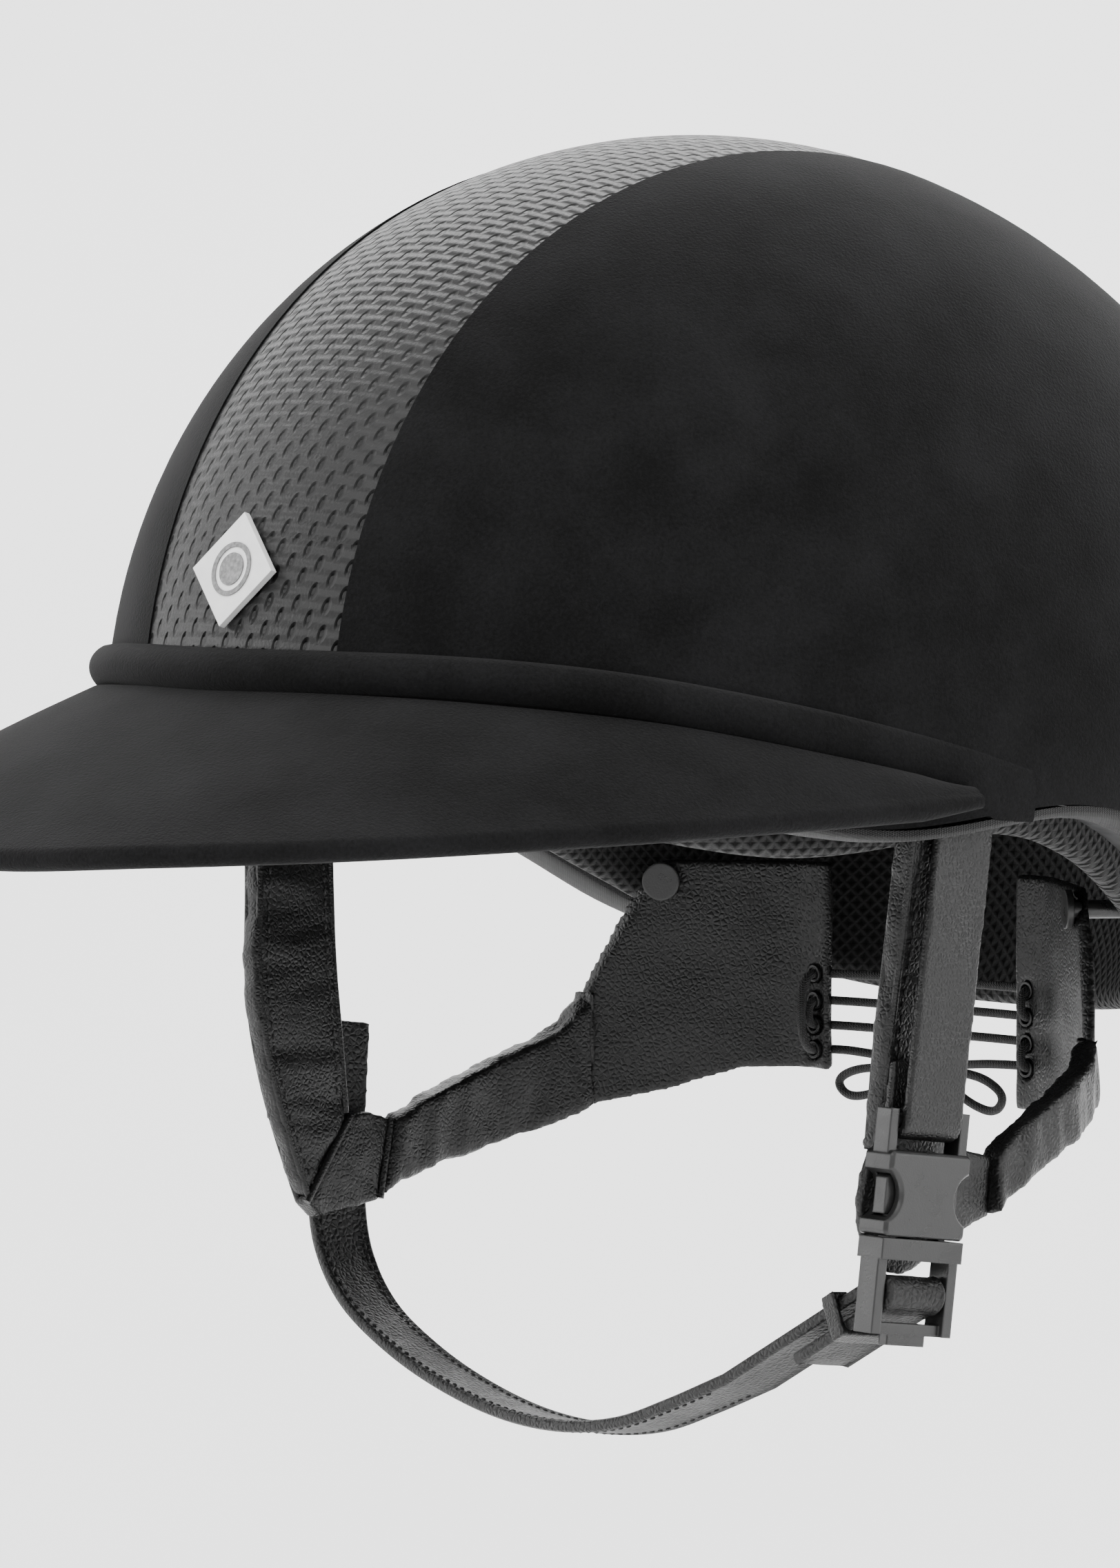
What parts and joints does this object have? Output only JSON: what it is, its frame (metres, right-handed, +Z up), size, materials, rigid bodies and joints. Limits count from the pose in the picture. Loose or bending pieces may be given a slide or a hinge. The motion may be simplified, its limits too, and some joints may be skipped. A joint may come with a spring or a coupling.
{
  "type": "equestrian riding helmet",
  "caption": "Black microsuede riding helmet with a mesh centre strip, wide peak, white diamond badge, laced nape harness and side-release chin buckle.",
  "frame": {"origin": "centre of the head opening, on the wearer's mid plane, at the level of the brim above the ears", "axes": "+X to the wearer's left, the side of the buckle; -Y to the front, where the peak is; +Z up through the crown"},
  "size_m": [0.2346, 0.3518, 0.2738],
  "materials": {
    "suede": "black microsuede with a short speckled nap",
    "mesh_leather": "black perforated leather-look mesh with rows of slanted slots",
    "smooth_binding": "smooth black bound fabric",
    "shell_plastic": "moulded black shell plastic",
    "liner_foam": "black expanded foam",
    "pad_foam": "soft black foam under fabric",
    "knit": "black diamond knit lining",
    "white_badge": "white moulded badge",
    "grey_emblem": "grey printed rings",
    "strap_leather": "black stitched synthetic leather",
    "buckle_plastic": "glossy black moulded plastic",
    "black_metal": "black enamelled metal",
    "lace_cord": "black braided cord"
  },
  "bodies": {
    "helmet": {"outer_shell": "shell_plastic", "impact_liner": "liner_foam", "left_cover_panel": "suede", "right_cover_panel": "suede", "centre_mesh_panel": "mesh_leather", "brim_band": "suede", "rim_binding": "smooth_binding", "headband_foam": "pad_foam", "headband_cover": "knit", "crown_pad": "pad_foam", "badge_plate": "white_badge", "badge_emblem": "grey_emblem", "peak_core": "shell_plastic", "peak_cover": "suede", "peak_lining": "smooth_binding", "left_front_strap": "strap_leather", "right_front_strap": "strap_leather", "left_junction": "strap_leather", "right_junction": "strap_leather", "left_rear_strap": "strap_leather", "right_rear_strap": "strap_leather", "left_nape_flap": "strap_leather", "right_nape_flap": "strap_leather", "left_strap_facing": "strap_leather", "buckle_guard_pad": "strap_leather", "chin_strap_anchor": "strap_leather", "buckle_socket": "buckle_plastic", "harness_rivets": "black_metal", "rivet_washers": "black_metal", "flap_studs": "buckle_plastic", "lace_eyelets": "black_metal", "lace": "lace_cord", "bow_knot": "lace_cord", "bow_left_ear": "lace_cord", "bow_right_ear": "lace_cord", "lace_tips": "buckle_plastic"},
    "chin_strap": {"chin_strap": "strap_leather", "buckle_plug": "buckle_plastic"},
    "keeper": {"strap_keeper": "strap_leather"},
    "rear_prong": {"rear_release_prong": "buckle_plastic"},
    "front_prong": {"front_release_prong": "buckle_plastic"}
  },
  "joints": [
    {"name": "chin_strap_swing", "type": "hinge", "parent": "helmet", "child": "chin_strap", "pos_m": [-0.09431, -0.02807, -0.08306], "axis": [0.0795, 0.9883, -0.1301], "range_deg": [0, 100], "deforming": ["front_release_prong", "rear_release_prong"]},
    {"name": "rear_prong_press", "type": "hinge", "parent": "chin_strap", "child": "rear_prong", "pos_m": [0.0965, -0.03805, -0.09213], "axis": [0.9968, -0.0802, 0], "range_deg": [0, 15], "stiffness_Nm_per_rad": 0.002},
    {"name": "front_prong_press", "type": "hinge", "parent": "chin_strap", "child": "front_prong", "pos_m": [0.09547, -0.05089, -0.09044], "axis": [0.9968, -0.0802, 0], "range_deg": [-15, 0], "stiffness_Nm_per_rad": 0.002},
    {"name": "keeper_slide", "type": "slide", "parent": "chin_strap", "child": "keeper", "axis": [-0.8744, 0.0064, -0.4852], "range_m": [0, 0.008]}
  ],
  "couplings": [
    {"joint": "front_prong_press", "follows": "rear_prong_press", "ratio": -1}
  ]
}
